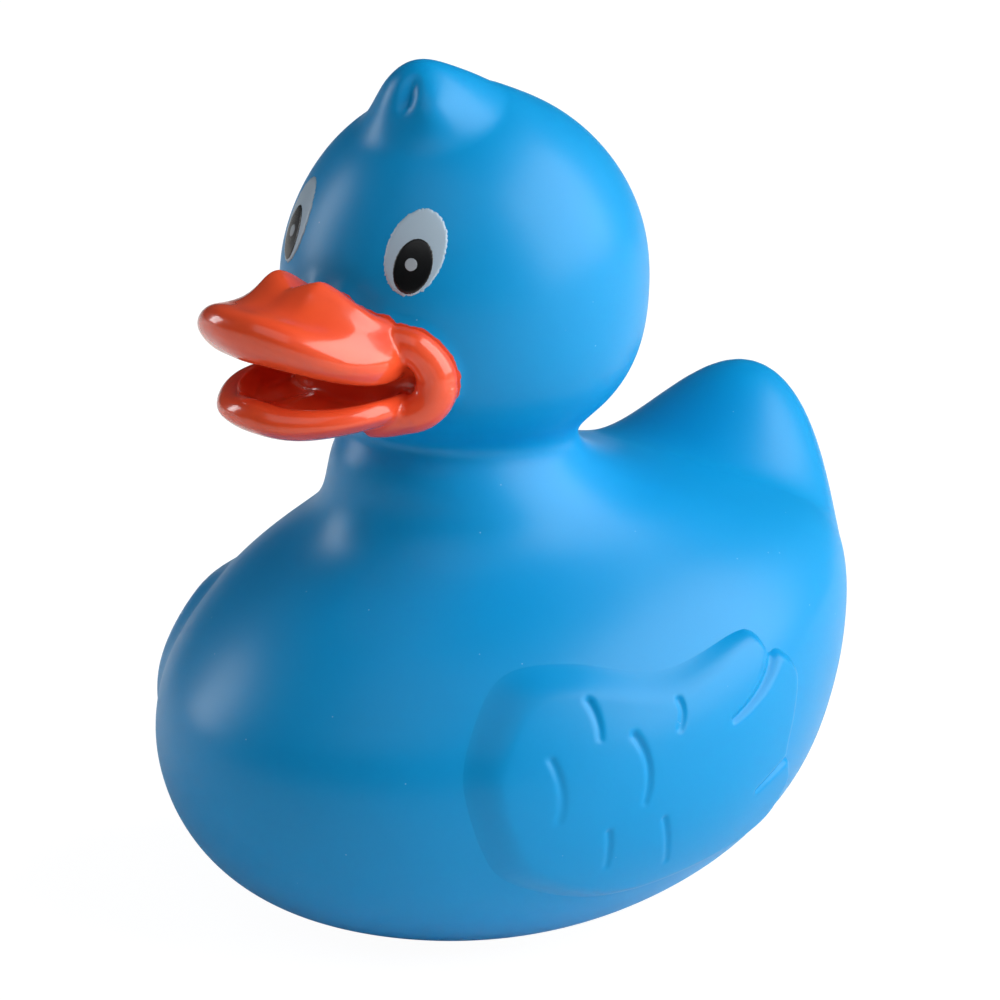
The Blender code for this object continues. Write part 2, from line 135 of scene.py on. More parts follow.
# The wing's outline and its strokes, as shares of its length and height seen from the side
WING_FRONT = -26.2
WING_FOOT = 8.7
WING_LENGTH = 39.0
WING_HEIGHT = 24.9
WING_OUTLINE = (
    (0.036, 0.301), (0.000, 0.566), (0.054, 0.779), (0.164, 0.956), (0.313, 0.990),
    (0.540, 0.925), (0.785, 0.985), (0.850, 0.975), (0.890, 0.905), (0.940, 0.870),
    (0.985, 0.780), (0.965, 0.620), (0.940, 0.480), (0.962, 0.410), (0.975, 0.340),
    (0.955, 0.262), (0.885, 0.150), (0.650, 0.042), (0.395, 0.000), (0.136, 0.124),
)
# The edge's roll is this wide at the top, the foot and the rear, in mm. It turns low between these heights
# and rearwards between these values of y, where it also turns from soft to crisp
WING_ROLLS = (3.6, 2.0, 1.4)
WING_LOW = (9, 18)
WING_REAR = (-8, 9)
WING_CRISP_POWER = 2.2
WING_CRISP_FRONT = 0.12
WING_CRISP_REAR = 0.68
# The wing starts this far outside its outline. Its patch is sunk a little and dives at its edge, in mm
WING_START = 0.25
WING_MARGIN = 2
WING_SINK = 0.05
WING_DIVE = 0.3
WING_DIVE_FROM = 0.3
WING_EDGE = 0.9
# Each stroke's start, middle and end, then its depth and its widths at both ends, in mm
WING_STROKES = (
    ((0.316, 0.845), (0.326, 0.785), (0.315, 0.715), 0.36, 0.36, 0.28),
    ((0.546, 0.808), (0.556, 0.755), (0.530, 0.705), 0.34, 0.32, 0.30),
    ((0.404, 0.708), (0.448, 0.590), (0.416, 0.448), 0.38, 0.36, 0.32),
    ((0.191, 0.650), (0.216, 0.520), (0.196, 0.420), 0.22, 0.36, 0.40),
    ((0.323, 0.345), (0.334, 0.270), (0.336, 0.200), 0.26, 0.32, 0.30),
    ((0.478, 0.360), (0.500, 0.265), (0.516, 0.170), 0.26, 0.32, 0.30),
    ((0.893, 0.905), (0.860, 0.780), (0.705, 0.690), 0.70, 0.75, 0.30),
    ((0.948, 0.450), (0.900, 0.430), (0.800, 0.360), 0.60, 0.45, 0.25),
)

# The bill is swept round an upright line in the head, at this y. Its plan is a round further forward.
# It ends at these degrees, and its height closes over the last of them
SWEEP_Y = -14.0
BILL_ROUND_AHEAD = 12.3
BILL_ROUND = 10.6
LOWER_SHORTER = 1.9
BILL_END = 59.0
BILL_CLOSING = 10.5
BILL_ROOT = 4.5
BILL_VOXEL = 0.22
BILL_SMOOTHING = 14
BILL_ROWS = 161
LINING_CLOSING = 1.0
# Where the face is near the bill: heights from and to, and y below. Elsewhere the gap counts as far
BILL_ZONE = (49, 77, -9)
FAR_GAP = 20.0

# The fillet at the bill's root turns to these sizes, away from the middle and below the bill
ROOT_SIDE_FILLET = 1.4
ROOT_SIDE = (2.0, 7.0)
ROOT_LOW_FILLET = 1.2
ROOT_LOW = (63.0, 66.5)

# The face stands back behind the mouth by this depth, out to these degrees and between these heights
DENT_DEPTH = 3.2
DENT_SIDE = (56, 61)
DENT_FOOT = (57.6, 59.0)
DENT_TOP = (62.2, 63.6)

# The upper bill's ridge, by turn in degrees: its height with the nostril humps, and its reach
RIDGE_HEIGHT = ((0, 7, 13, 20, 32, 36, 45, 60), (69.6, 70.4, 70.9, 70.0, 68.3, 67.6, 66.5, 64.8))
RIDGE_REACH = ((0, 13, 20, 36, 45, 60), (14.4, 14.0, 13.5, 13.2, 11.5, 8.5))

# The mouth's corners: the cheek rim's middle line as (turn in degrees, reach, height), and its radii
CHEEK_PATH = (
    (40, 10.6, 64.9), (48, 11.3, 64.7), (55, 12.0, 64.2), (61, 12.4, 63.1), (64.8, 12.6, 61.6),
    (65.4, 12.7, 60.1), (63.0, 12.5, 58.6), (57.5, 12.1, 57.5), (50, 11.4, 56.9), (41, 11.0, 56.3),
    (31, 10.6, 55.9),
)
CHEEK_RADII = (1.2, 1.6, 1.9, 2.0, 2.1, 2.15, 2.1, 2.0, 1.9, 1.7, 1.5)

# The left eye's place, looked for on the face from in front, and the way it looks. The right eye mirrors it
EYE_X = 8.7
EYE_CENTRE_HEIGHT = 73.4
EYE_SEARCH_Y = -60
EYE_LOOK = (0.44, -0.82, 0.37)
EYE_LEAN = math.radians(14)

# Points round a film of paint and rings in it, how far in front of the face it is dropped from, how deep
# its rim tucks in, and how fast its edge wanders
FILM_AROUND = 300
FILM_RINGS = 14
FILM_DROP = 4
FILM_TUCK = 0.03
FILM_EDGE_WAVES = 14

# Each soft panel: name, azimuth and elevation in degrees, distance and size in metres, watts and colour
LAMPS = (
    ("key_panel", 126, 34, 0.75, (0.90, 0.80), 9.4, (1.0, 0.99, 0.97)),
    ("front_fill", 20, 50, 0.90, (0.70, 0.70), 1.3, (0.97, 0.98, 1.0)),
    ("left_window", -66, 16, 0.70, (0.20, 0.32), 1.2, (0.95, 0.97, 1.0)),
)
LAMP_AIM_HEIGHT = 45
# The side that the world's light comes from, and its levels in front of and behind the duck
BRIGHT_SIDE = (0.82, 0.57, 0.0)
WORLD_LEVELS = (0.04, 0.45)
FLOOR_REACH = 3
SENSOR_WIDTH = 36


def srgb(code):
    """A linear colour from an sRGB hex code."""
    values = [int(code[i : i + 2], 16) / 255 for i in (1, 3, 5)]
    return tuple(v / 12.92 if v <= 0.04045 else ((v + 0.055) / 1.055) ** 2.4 for v in values)


def blend(a, b, share):
    return a + (b - a) * share


def ease(value, start, end):
    """0 before start, 1 after end, and a smooth step between, for numbers and for arrays."""
    share = np.clip((value - start) / (end - start), 0, 1)
    return share * share * (3 - 2 * share)


class DuckSizes(bpy.types.PropertyGroup):
    wing_relief: FloatProperty(
        name="Wing relief", description="How far the wings stand off the body", default=1.1 * MM,
        unit="LENGTH",
    )
    stroke_share: FloatProperty(
        name="Stroke depth", description="Depth of the feather strokes, as a share of the measured one",
        default=1.0, subtype="FACTOR",
    )
    root_fillet: FloatProperty(
        name="Bill root fillet", description="How far the face swells to meet the bill",
        default=2.0 * MM, unit="LENGTH",
    )
    vent_radius: FloatProperty(
        name="Vent radius", description="Radius of the vent hole in the base", default=1.5 * MM,
        unit="LENGTH",
    )
    eye_width: FloatProperty(
        name="Eye width", description="Width of the eye's white", default=6.05 * MM, unit="LENGTH"
    )
    eye_height: FloatProperty(
        name="Eye height", description="Height of the eye's white", default=8.9 * MM, unit="LENGTH"
    )
    pupil_width: FloatProperty(
        name="Pupil width", description="Width of the pupil", default=3.9 * MM, unit="LENGTH"
    )
    pupil_height: FloatProperty(
        name="Pupil height", description="Height of the pupil", default=5.6 * MM, unit="LENGTH"
    )
    glint_width: FloatProperty(
        name="Glint width", description="Width of the painted glint", default=1.3 * MM, unit="LENGTH"
    )


class DuckColours(bpy.types.PropertyGroup):
    vinyl: FloatVectorProperty(
        name="Vinyl", description="Blue vinyl of the shell", default=srgb("#0094D3"),
        subtype="COLOR", min=0, max=1,
    )
    vinyl_deep: FloatVectorProperty(
        name="Vinyl shade", description="Blue of the vinyl's cloudy parts", default=srgb("#008CCB"),
        subtype="COLOR", min=0, max=1,
    )
    bill: FloatVectorProperty(
        name="Bill", description="Orange enamel of the bill", default=srgb("#F5582C"),
        subtype="COLOR", min=0, max=1,
    )
    bill_thin: FloatVectorProperty(
        name="Bill, thin coat", description="Where the enamel is thin", default=srgb("#E0482A"),
        subtype="COLOR", min=0, max=1,
    )
    eye_white: FloatVectorProperty(
        name="Eye white", description="White enamel of the eyes", default=srgb("#A9C0D2"),
        subtype="COLOR", min=0, max=1,
    )
    pupil: FloatVectorProperty(
        name="Pupil", description="Black enamel of the pupils", default=srgb("#07090C"),
        subtype="COLOR", min=0, max=1,
    )
    glint: FloatVectorProperty(
        name="Glint", description="Pale grey dot on the pupil", default=srgb("#B4BDC4"),
        subtype="COLOR", min=0, max=1,
    )


class DuckStage(bpy.types.PropertyGroup):
    azimuth: FloatProperty(
        name="Azimuth", description="Turn of the camera round the duck", default=math.radians(47),
        unit="ROTATION",
    )
    elevation: FloatProperty(
        name="Elevation", description="Height of the camera as an angle", default=math.radians(17),
        unit="ROTATION",
    )
    distance: FloatProperty(
        name="Distance", description="From the camera to the duck", default=900 * MM, unit="LENGTH"
    )
    view_width: FloatProperty(
        name="View width", description="Width of the picture at the duck", default=103.1 * MM,
        unit="LENGTH",
    )
    lift: FloatProperty(
        name="Lift", description="Height of the picture's middle over the floor", default=40 * MM,
        unit="LENGTH",
    )


# Mesh helpers


def linked(name, data):
    """A new object of that data, in the scene."""
    obj = bpy.data.objects.new(name, data)
    bpy.context.scene.collection.objects.link(obj)
    return obj


def mesh_object(points, faces, name):
    """A smooth-shaded mesh object from points in metres."""
    mesh = bpy.data.meshes.new(name)
    mesh.from_pydata(points, [], faces)
    mesh.shade_smooth()
    return linked(name, mesh)


def object_from(points, faces, name):
    """A smooth-shaded mesh object. Points are in the form's frame, in millimetres."""
    placed = (np.asarray(points, float) + (0, FORM_SHIFT, 0)) * MM
    obj = mesh_object(placed.tolist(), [list(face) for face in faces], name)
    obj.data.validate()
    return obj


def grid_faces(rows, columns, wrap=True):
    """Quads between the points of a grid laid out row by row."""
    across = np.arange(columns if wrap else columns - 1)
    low = (np.arange(rows - 1) * columns)[:, None] + across
    low_next = (np.arange(rows - 1) * columns)[:, None] + (across + 1) % columns
    return np.stack([low, low_next, low_next + columns, low + columns], -1).reshape(-1, 4)


def outward(obj):
    """Turns the faces of a closed mesh outwards."""
    work = bmesh.new()
    work.from_mesh(obj.data)
    bmesh.ops.recalc_face_normals(work, faces=work.faces[:])
    work.to_mesh(obj.data)
    work.free()


def tree_of(obj):
    work = bmesh.new()
    work.from_mesh(obj.data)
    tree = BVHTree.FromBMesh(work)
    work.free()
    return tree


def tube(name, path, radii, around=24):
    """A closed tube along the path, with a radius at each of its points."""
    path = np.asarray(path, float)
    along = np.gradient(path, axis=0)
    along /= np.linalg.norm(along, axis=1)[:, None]
    side = np.cross(along, (0, 0, 1.0))
    weak = np.linalg.norm(side, axis=1) < 0.05
    side[weak] = (1, 0, 0)
    side /= np.linalg.norm(side, axis=1)[:, None]
    up = np.cross(side, along)
    turns = np.linspace(0, 2 * math.pi, around, endpoint=False)
    rings = (
        path[:, None]
        + np.asarray(radii)[:, None, None]
        * (side[:, None] * np.cos(turns)[None, :, None] + up[:, None] * np.sin(turns)[None, :, None])
    )
    points = np.concatenate([rings.reshape(-1, 3), path[:1], path[-1:]])
    count = len(path)
    faces = [tuple(f) for f in grid_faces(count, around)]
    first, last = count * around, count * around + 1
    faces += [(first, (j + 1) % around, j) for j in range(around)]
    base = (count - 1) * around
    faces += [(last, base + j, base + (j + 1) % around) for j in range(around)]
    obj = object_from(points, faces, name)
    outward(obj)
    return obj


def smooth_line(points, steps, closed=False):
    """A Catmull-Rom line through the points."""
    points = np.asarray(points, float)
    count = len(points)
    line = []
    for i in range(count if closed else count - 1):
        p1, p2 = points[i], points[(i + 1) % count]
        p0 = points[(i - 1) % count] if closed or i > 0 else 2 * p1 - p2
        p3 = points[(i + 2) % count] if closed or i + 2 < count else 2 * p2 - p1
        for k in range(steps):
            t = k / steps
            square = (2 * p0 - 5 * p1 + 4 * p2 - p3) * t**2
            cube = (3 * p1 - p0 - 3 * p2 + p3) * t**3
            line.append(0.5 * (2 * p1 + (p2 - p0) * t + square + cube))
    if not closed:
        line.append(points[-1])
    return np.array(line)


def distance_to_line(points, line, closed=False):
    """Distance from each 2D point to the line, and the share along it of the nearest place."""
    ends = np.roll(line, -1, axis=0) if closed else line[1:]
    starts = line if closed else line[:-1]
    best = np.full(len(points), np.inf)
    share = np.zeros(len(points))
    for k, (a, b) in enumerate(zip(starts, ends)):
        ab = b - a
        t = np.clip(((points - a) @ ab) / max(ab @ ab, 1e-12), 0, 1)
        gap = np.linalg.norm(points - a - t[:, None] * ab, axis=1)
        nearer = gap < best
        best[nearer] = gap[nearer]
        share[nearer] = (k + t[nearer]) / len(starts)
    return best, share


def inside_line(points, line):
    """Whether each 2D point lies inside the closed line."""
    crossings = np.zeros(len(points), int)
    for a, b in zip(line, np.roll(line, -1, axis=0)):
        spans = (a[1] > points[:, 1]) != (b[1] > points[:, 1])
        if spans.any():
            at = a[0] + (points[:, 1] - a[1]) / (b[1] - a[1] + 1e-15) * (b[0] - a[0])
            crossings += spans & (points[:, 0] < at)
    return crossings % 2 == 1


# The shell: body, neck and head


def form_rings():
    """(height, front, back, half width) of each section from the base to the crown, with the crown mirrored
    past its pole so that the spline closes in a round dome, and the number of the pole."""
    rings = [
        (height * SHOULDER_HEIGHT, -breast * BREAST_REACH, rump * RUMP_REACH, width * BODY_WIDTH / 2)
        for height, breast, rump, width in BODY_SECTIONS
    ]
    rings.append((NECK_HEIGHT, -NECK_FORWARD - NECK_RADIUS, NECK_RADIUS - NECK_FORWARD, NECK_RADIUS))
    lowest = (NECK_HEIGHT - HEAD_CENTRE) / HEAD_RADIUS * CHIN_START
    for i in range(HEAD_RINGS):
        turn = i / HEAD_RINGS
        share = math.sin(turn * math.pi / 2 + (1 - turn) * math.asin(lowest))
        power = CHIN_FULLNESS if share < 0 else CROWN_FULLNESS
        radius = HEAD_RADIUS * math.sqrt(1 - abs(share) ** power)
        slope = FOREHEAD_SLOPE * math.sin(math.pi * max(share, 0))
        height = HEAD_CENTRE + share * (HEAD_RADIUS if share < 0 else CROWN_RISE)
        rings.append((height, -HEAD_FORWARD - radius * (1 - slope), radius - HEAD_FORWARD, radius))
    count = len(rings)
    rings.append((HEAD_CENTRE + CROWN_RISE, -HEAD_FORWARD, -HEAD_FORWARD, 0))
    for height, front, back, width in (rings[count - 1], rings[count - 2]):
        rings.append((height, back, front, -width))
    return np.array(rings), count


def cubic(a, b, c, d, t):
    """A point of the uniform cubic B-spline span of four controls."""
    middle = b * (3 * t**3 - 6 * t**2 + 4)
    after = c * (-3 * t**3 + 3 * t**2 + 3 * t + 1)
    return (a * (1 - t) ** 3 + middle + after + d * t**3) / 6


def on_spline(controls, at):
    """Points of the B-spline of the controls, with one control mirrored below the first."""
    padded = np.concatenate([2 * controls[:1] - controls[1:2], controls])
    start = np.clip(np.floor(at).astype(int), 0, len(controls) - 3)
    return cubic(*(padded[start + k] for k in range(4)), (at - start)[:, None])


def spread(start, end, density, count):
    """Values from start to end, spaced by the inverse of a density."""
    fine = np.linspace(start, end, 4000)
    weight = np.cumsum(density(fine))
    return np.interp(np.linspace(weight[0], weight[-1], count), weight, fine)


def pull(points, centre, reach, shift, share=1.0):
    """Moves the points round a centre, most at the centre and none at the reach along each axis."""
    far = (((points - np.array(centre)) / np.array(reach)) ** 2).sum(-1)
    return points + np.array(shift) * (share * np.clip(1 - far, 0, 1) ** 2)[..., None]


def form_grid(at, turns):
    """The plain form with its tail and crest: rows at places along the loft, columns at turns round it."""
    controls, _ = form_rings()
    height, front, back, width = (on_spline(controls, at)[:, k, None] for k in range(4))
    x = OVAL_SHARE * width * np.sin(turns)
    y = (front + back) / 2 - OVAL_SHARE * (back - front) / 2 * np.cos(turns)
    points = np.stack([x, y, np.broadcast_to(height, x.shape)], -1)
    points = pull(points, TAIL_CENTRE, TAIL_REACH, TAIL_SHIFT)
    # The crest's front stands off the forehead in a short step
    step = blend(ease(points[..., 2], *CREST_STEP), 1.0, ease(points[..., 1], *CREST_STEP_BACK))
    return pull(points, CREST_CENTRE, CREST_REACH, CREST_SHIFT, step)


def place_at(height):
    """The place along the loft where the plain form has that height."""
    controls, top = form_rings()
    fine = np.linspace(0, top, 4000)
    return float(np.interp(height, on_spline(controls, fine)[:, 0], fine))


def shell_grid():
    """Rows from the floor to just below the pole, closer on the head, and columns all the way round."""
    controls, top = form_rings()

    def row_density(at):
        rings = on_spline(controls, at)
        run = np.hypot(np.gradient(rings[:, 0], at), np.gradient(rings[:, 3], at))
        return run * blend(1.0, HEAD_DENSITY, ease(rings[:, 0], 48, 54))

    at = spread(place_at(0), top - POLE_GAP, row_density, SHELL_ROWS)
    turns = np.linspace(0, 2 * math.pi, SHELL_COLUMNS, endpoint=False)
    return form_grid(at, turns)


def grid_normals(grid, wrap=True):
    if wrap:
        across = np.roll(grid, -1, axis=1) - np.roll(grid, 1, axis=1)
    else:
        across = np.gradient(grid, axis=1)
    normal = np.cross(across, np.gradient(grid, axis=0))
    return normal / np.linalg.norm(normal, axis=-1)[..., None]


def on_wing(shares):
    """(y, z) in the form's frame of places given as shares of the wing's length and height."""
    return np.array([WING_FRONT, WING_FOOT]) + np.asarray(shares, float) * (WING_LENGTH, WING_HEIGHT)


def bend(start, middle, end, steps):
    """A line from start to end that bends towards the middle."""
    share = np.linspace(0, 1, steps + 1)[:, None]
    start, middle, end = (np.asarray(point, float) for point in (start, middle, end))
    return blend(blend(start, middle, share), blend(middle, end, share), share)


def wing_relief(flat, sizes):
    """Height of the wing over the body at (y, z), and the distance in from its outline: a pillow with a
    wide soft roll in front and on top, narrower at the feather tips, with thin strokes pressed into it."""
    outline = smooth_line(on_wing(WING_OUTLINE), 8, closed=True)
    gap, _ = distance_to_line(flat, outline, closed=True)
    gap = np.where(inside_line(flat, outline), gap, -gap)
    rear = ease(flat[:, 0], *WING_REAR)
    low = 1 - ease(flat[:, 1], *WING_LOW)
    top_roll, foot_roll, rear_roll = WING_ROLLS
    rise = np.clip((gap + WING_START) / blend(blend(top_roll, foot_roll, low), rear_roll, rear), 0, 1)
    soft = rise * rise * (3 - 2 * rise)
    crisp = 1 - (1 - rise) ** WING_CRISP_POWER
    raised = sizes.wing_relief / MM * blend(soft, crisp, WING_CRISP_FRONT + WING_CRISP_REAR * rear)
    for start, middle, end, depth, start_width, end_width in WING_STROKES:
        off, share = distance_to_line(flat, bend(on_wing(start), on_wing(middle), on_wing(end), 12))
        cut = np.exp(-((off / blend(start_width, end_width, share)) ** 2))
        raised = raised - sizes.stroke_share * depth * cut * blend(1.0, 0.5, share)
    return np.maximum(raised, 0), gap


def crest_relief(grid):
    """The crest's two lobes and the swell behind them, with a short valley between the lobes."""
    x, y, z = (grid[..., k] for k in range(3))
    relief = 0
    for middle, reach, rise in CREST_LOBES:
        relief = relief + rise * np.exp(-(((grid - middle) / reach) ** 2).sum(-1))
    middle, reach, rise = CREST_BACK
    back = np.exp(-(((grid[..., :2] - middle) / reach) ** 2).sum(-1)) * ease(z, *CREST_BACK_FOOT)
    across = np.exp(-(((x - VALLEY_X) / VALLEY_WIDTH) ** 2))
    return relief + rise * back - VALLEY_DEPTH * across * ease(-y, *VALLEY_FRONT) * ease(z, *VALLEY_FOOT)


def about_sweep(points):
    """Turn in degrees and reach of points about the bill's sweep line."""
    ahead = SWEEP_Y - points[..., 1]
    return np.degrees(np.arctan2(points[..., 0], ahead)), np.hypot(points[..., 0], ahead)


def mouth_dent(grid):
    """How far the face stands back behind the mouth's lining."""
    turn, _ = about_sweep(grid)
    side, z = np.abs(turn), grid[..., 2]
    inside = (1 - ease(side, *DENT_SIDE)) * ease(z, *DENT_FOOT) * (1 - ease(z, *DENT_TOP))
    return DENT_DEPTH * inside * (grid[..., 1] < -10)


def distances(points, bill):
    """Each point's distance to the bill, below zero inside it, and a fixed one where it is far away."""
    tree = tree_of(bill)
    gaps = np.full(points.shape[:2], FAR_GAP)
    foot, top, front = BILL_ZONE
    near = (points[..., 2] > foot) & (points[..., 2] < top) & (points[..., 1] < front)
    for row, column in np.argwhere(near):
        point = (Vector(points[row, column]) + Vector((0, FORM_SHIFT, 0))) * MM
        found, normal, _, gap = tree.find_nearest(point)
        gaps[row, column] = math.copysign(gap / MM, (point - found).dot(normal))
    return gaps


def root_swell(grid, gaps, sizes):
    """How far the face rises to meet the bill: a long slope in the middle, a small fillet elsewhere."""
    x, z = np.abs(grid[..., 0]), grid[..., 2]
    reach = blend(sizes.root_fillet / MM, ROOT_SIDE_FILLET, ease(x, *ROOT_SIDE))
    reach = blend(ROOT_LOW_FILLET, reach, ease(z, *ROOT_LOW))
    return np.clip(reach - np.maximum(gaps, 0), 0, None) ** 2 / (4 * reach) * ease(gaps, -2.0, -0.5)


def base_rows(edge, vent_radius):
    """Rows of the flat base from its edge to the vent, and up into the vent."""
    middle = np.array([0, edge[:, 1].mean(), 0])
    turns = np.arctan2(edge[:, 0] - middle[0], -(edge[:, 1] - middle[1]))
    ring = middle + vent_radius * np.stack([np.sin(turns), -np.cos(turns), 0 * turns], -1)
    flat = edge * (1, 1, 0)
    rows = [blend(flat, ring, share) for share in BASE_SHARES]
    rows += [ring, blend(ring, middle, 0.06) + (0, 0, VENT_ROUND), blend(ring, middle, 0.08) + (0, 0, WALL)]
    return rows[::-1], middle + (0, 0, WALL)


# Materials


def add(tree, kind, links=None, **settings):
    """A node of that kind, with its settings, and with its inputs set to values or linked to sockets."""
    node = tree.nodes.new(kind)
    for name, value in settings.items():
        setattr(node, name, value)
    for name, value in (links or {}).items():
        if isinstance(value, bpy.types.NodeSocket):
            tree.links.new(value, node.inputs[name])
        else:
            node.inputs[name].default_value = value
    return node


def new_material(name):
    made = bpy.data.materials.new(name)
    made.use_nodes = True
    made.node_tree.nodes.clear()
    return made, made.node_tree


def per_mm(size):
    """A noise scale that gives features of that many millimetres on coordinates in metres."""
    return 1 / (size * MM)


def mix(tree, share, first, second):
    """The output colour of a mix from the first colour to the second."""
    node = add(tree, "ShaderNodeMix", {0: share, 6: first, 7: second}, data_type="RGBA")
    return node.outputs[2]


def maths(tree, operation, *values):
    """The output value of a calculation with the values."""
    return add(tree, "ShaderNodeMath", dict(enumerate(values)), operation=operation).outputs[0]


def remap(tree, value, start, end, low=0.0, high=1.0, **settings):
    """The value, moved from the range start to end into the range low to high."""
    links = {"Value": value, "From Min": start, "From Max": end, "To Min": low, "To Max": high}
    return add(tree, "ShaderNodeMapRange", links, **settings).outputs["Result"]


def clouds(tree, place, size, detail):
    """A noise value with features of that many millimetres."""
    links = {"Vector": place, "Scale": per_mm(size), "Detail": detail}
    return add(tree, "ShaderNodeTexNoise", links).outputs["Fac"]


def bump(tree, height, strength, depth, **links):
    """The normal of a bump that is that many millimetres deep."""
    values = {"Height": height, "Strength": strength, "Distance": depth * MM, **links}
    return add(tree, "ShaderNodeBump", values).outputs[0]


def vinyl_material(colours):
    """Soft PVC, rotation moulded: satin, a little cloudy, with fine dust caught in the plasticiser."""
    made, tree = new_material("soft_vinyl")
    place = add(tree, "ShaderNodeTexCoord").outputs["Object"]
    cloud = clouds(tree, place, 22, 3.0)
    tint = mix(tree, cloud, (*colours.vinyl_deep, 1), (*colours.vinyl, 1))
    # Dust specks up to 0.2 mm across, in a fifth of the cells of a 1.7 mm pattern
    grit = add(tree, "ShaderNodeTexVoronoi", {"Vector": place, "Scale": per_mm(1.7)})
    spot = remap(tree, grit.outputs["Distance"], 0.055, 0.03)
    chance = add(tree, "ShaderNodeSeparateColor", {"Color": grit.outputs["Color"]})
    rare = maths(tree, "GREATER_THAN", chance.outputs["Red"], 0.80)
    faint = maths(tree, "MULTIPLY", maths(tree, "MULTIPLY", spot, rare), 0.35)
    dusted = mix(tree, faint, tint, (*srgb("#BFE4F7"), 1))
    # The bill's enamel oversprays the face by a fraction of a millimetre, with a ragged edge
    gap = add(tree, "ShaderNodeAttribute", attribute_name="bill_gap").outputs["Fac"]
    edge = maths(tree, "MULTIPLY_ADD", clouds(tree, place, 0.9, 4.0), 0.5, 0.02)
    painted = remap(tree, maths(tree, "SUBTRACT", edge, gap), -0.03, 0.03)
    colour = mix(tree, painted, dusted, (*colours.bill_thin, 1))
    fine = bump(tree, clouds(tree, place, 0.5, 2.0), 0.12, 0.05)
    shader = add(tree, "ShaderNodeBsdfPrincipled", {
        "Base Color": colour,
        "Roughness": remap(tree, cloud, 0.0, 1.0, 0.32, 0.40),
        "IOR": 1.53,
        "Subsurface Weight": 0.1,
        "Subsurface Radius": (0.2, 0.7, 1.0),
        "Subsurface Scale": 1.2 * MM,
        "Specular IOR Level": 0.26,
        "Normal": bump(tree, clouds(tree, place, 7, 1.0), 0.35, 0.12, Normal=fine),
    })
    add(tree, "ShaderNodeOutputMaterial", {"Surface": shader.outputs[0]})
    return made


def enamel_material(name, colour, thin, roughness, wave_size, wave_depth, coat_weight=0.1):
    """Brushed enamel: glossy, level from a step away, with soft brush waves and a thinner coat here and
    there. Also gives its colour and its shader. The waves' size and depth are in millimetres."""
    made, tree = new_material(name)
    place = add(tree, "ShaderNodeTexCoord").outputs["Object"]
    coat = clouds(tree, place, 4, 4.0)
    tint = mix(tree, coat, (*thin, 1), (*colour, 1))
    shader = add(tree, "ShaderNodeBsdfPrincipled", {
        "Base Color": tint,
        "Roughness": remap(tree, coat, 0.0, 1.0, roughness * 1.25, roughness * 0.8),
        "IOR": 1.5,
        "Coat Weight": coat_weight,
        "Coat Roughness": 0.08,
        "Specular IOR Level": 0.4,
        "Normal": bump(tree, clouds(tree, place, wave_size, 2.0), 0.4, wave_depth),
    })
    add(tree, "ShaderNodeOutputMaterial", {"Surface": shader.outputs[0]})
    return made, tint, shader


def orange_material(colours):
    """The bill's enamel. Low under the cheek rims, towards the face, it is mixed partway to a dull magenta:
    painted shade.
    """
    made, tint, shader = enamel_material(
        "orange_enamel", colours.bill, colours.bill_thin, 0.22, 1.6, 0.05, coat_weight=0.5
    )
    tree = made.node_tree
    place = add(tree, "ShaderNodeTexCoord").outputs["Object"]
    axes = add(tree, "ShaderNodeSeparateXYZ", {0: place})
    # Painted shade: below the cheek rims, low and towards the face, the orange turns halfway to a dull
    # magenta
    wander = maths(tree, "MULTIPLY_ADD", clouds(tree, place, 1.5, 4.0), 2.4 * MM, axes.outputs["Z"])
    low = remap(tree, wander, 58.2 * MM, 56.2 * MM)
    rear = remap(tree, axes.outputs["Y"], -28 * MM, -23 * MM)
    share = maths(tree, "MULTIPLY", maths(tree, "MULTIPLY", low, rear), 0.5)
    tree.links.new(mix(tree, share, tint, (*srgb("#A0426A"), 1)), shader.inputs["Base Color"])
    return made


def backdrop_material():
    """Matte white paper. To the camera it glows to a plain white, and it keeps a faint shadow."""
    made, tree = new_material("white_paper")
    path = add(tree, "ShaderNodeLightPath")
    seen = maths(tree, "MULTIPLY", path.outputs["Is Camera Ray"], 0.86)
    paper = add(tree, "ShaderNodeBsdfDiffuse", {"Color": (*srgb("#F4F4F2"), 1)})
    glow = add(tree, "ShaderNodeEmission", {"Color": (1, 1, 1, 1), "Strength": 1.12})
    both = add(tree, "ShaderNodeMixShader", {0: seen, 1: paper.outputs[0], 2: glow.outputs[0]})
    add(tree, "ShaderNodeOutputMaterial", {"Surface": both.outputs[0]})
    return made


# The bill's sub-parts


def plan_reach(turn):
    """Distance from the sweep line to the upper lip, whose plan is a round. Turn is in degrees."""
    across = BILL_ROUND_AHEAD * math.sin(math.radians(turn))
    return BILL_ROUND_AHEAD * math.cos(math.radians(turn)) + math.sqrt(max(BILL_ROUND**2 - across**2, 0))


